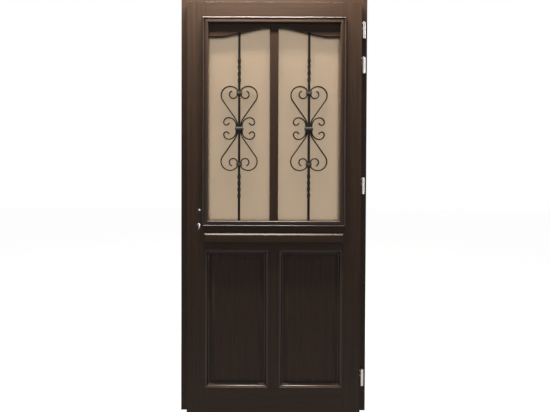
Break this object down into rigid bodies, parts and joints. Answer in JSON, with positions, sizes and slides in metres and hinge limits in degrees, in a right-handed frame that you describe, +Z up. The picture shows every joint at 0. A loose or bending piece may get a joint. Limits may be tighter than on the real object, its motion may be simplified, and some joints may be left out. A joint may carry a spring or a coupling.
{
  "type": "glazed front door",
  "caption": "Dark-stained wooden front door in its frame, with an arched window, wrought-iron scroll grilles, a drip ledge and raised panels below.",
  "frame": {"origin": "bottom centre of the frame, under the middle of the threshold", "axes": "+Z up, +X to the right seen from outside (the hinge side), +Y from the outside into the building"},
  "size_m": [0.93, 0.125, 2.1],
  "materials": {
    "dark_wood": "satin dark stain",
    "ironwork": "satin black",
    "nickel": "satin nickel",
    "bright_steel": "zinc plated",
    "pale_aluminium": "satin",
    "seal_rubber": "matte",
    "satin_glass": "satin, lets light through but no view",
    "clear_glass": "clear"
  },
  "bodies": {
    "frame": {"jamb_lock_side": "dark_wood", "jamb_hinge_side": "dark_wood", "frame_head": "dark_wood", "threshold": "pale_aluminium", "frame_seal": "seal_rubber", "strike_plate": "nickel", "strike_screws": "nickel", "frame_knuckle_1": "nickel", "frame_knuckle_2": "nickel", "frame_knuckle_3": "nickel", "frame_knuckle_4": "nickel", "hinge_pins": "bright_steel", "hinge_washers": "bright_steel"},
    "leaf": {"stile_lock_side": "dark_wood", "stile_hinge_side": "dark_wood", "top_rail": "dark_wood", "lock_rail": "dark_wood", "bottom_rail": "dark_wood", "centre_post": "dark_wood", "left_panel": "dark_wood", "right_panel": "dark_wood", "left_panel_moulding": "dark_wood", "right_panel_moulding": "dark_wood", "left_panel_beads": "dark_wood", "right_panel_beads": "dark_wood", "window_moulding_top": "dark_wood", "window_moulding_bottom": "dark_wood", "window_moulding_left": "dark_wood", "window_moulding_right": "dark_wood", "glazing_beads": "dark_wood", "arch_board_outside": "dark_wood", "arch_board_inside": "dark_wood", "glazing_bar_outside": "dark_wood", "glazing_bar_inside": "dark_wood", "outer_pane": "satin_glass", "inner_pane": "clear_glass", "pane_spacer": "pale_aluminium", "setting_blocks": "seal_rubber", "drip_ledge": "dark_wood", "left_grille_bar": "ironwork", "left_grille_scrolls": "ironwork", "left_grille_side_scrolls": "ironwork", "left_grille_collars": "ironwork", "right_grille_bar": "ironwork", "right_grille_scrolls": "ironwork", "right_grille_side_scrolls": "ironwork", "right_grille_collars": "ironwork", "lock_case": "bright_steel", "lock_cover": "bright_steel", "lock_faceplate": "nickel", "faceplate_screws": "nickel", "leaf_knuckle_1": "nickel", "leaf_knuckle_2": "nickel", "leaf_knuckle_3": "nickel", "leaf_knuckle_4": "nickel"},
    "latch": {"latch_bolt": "nickel"},
    "dead_bolt": {"dead_bolt": "nickel"},
    "follower": {"follower": "bright_steel"}
  },
  "joints": [
    {"name": "leaf_swing", "type": "hinge", "parent": "frame", "child": "leaf", "pos_m": [0.4455, -0.057, 1], "axis": [0, 0, 1], "range_deg": [0, 110]},
    {"name": "latch_slide", "type": "slide", "parent": "leaf", "child": "latch", "axis": [-1, 0, 0], "range_m": [0, 0.011]},
    {"name": "dead_bolt_slide", "type": "slide", "parent": "leaf", "child": "dead_bolt", "axis": [-1, 0, 0], "range_m": [0, 0.02]},
    {"name": "follower_turn", "type": "hinge", "parent": "leaf", "child": "follower", "pos_m": [-0.376, -0.023, 1.033], "axis": [0, 1, 0], "range_deg": [-31, 0]}
  ],
  "couplings": [
    {"joint": "follower_turn", "follows": "latch_slide", "rad_per_m": -47.6}
  ]
}
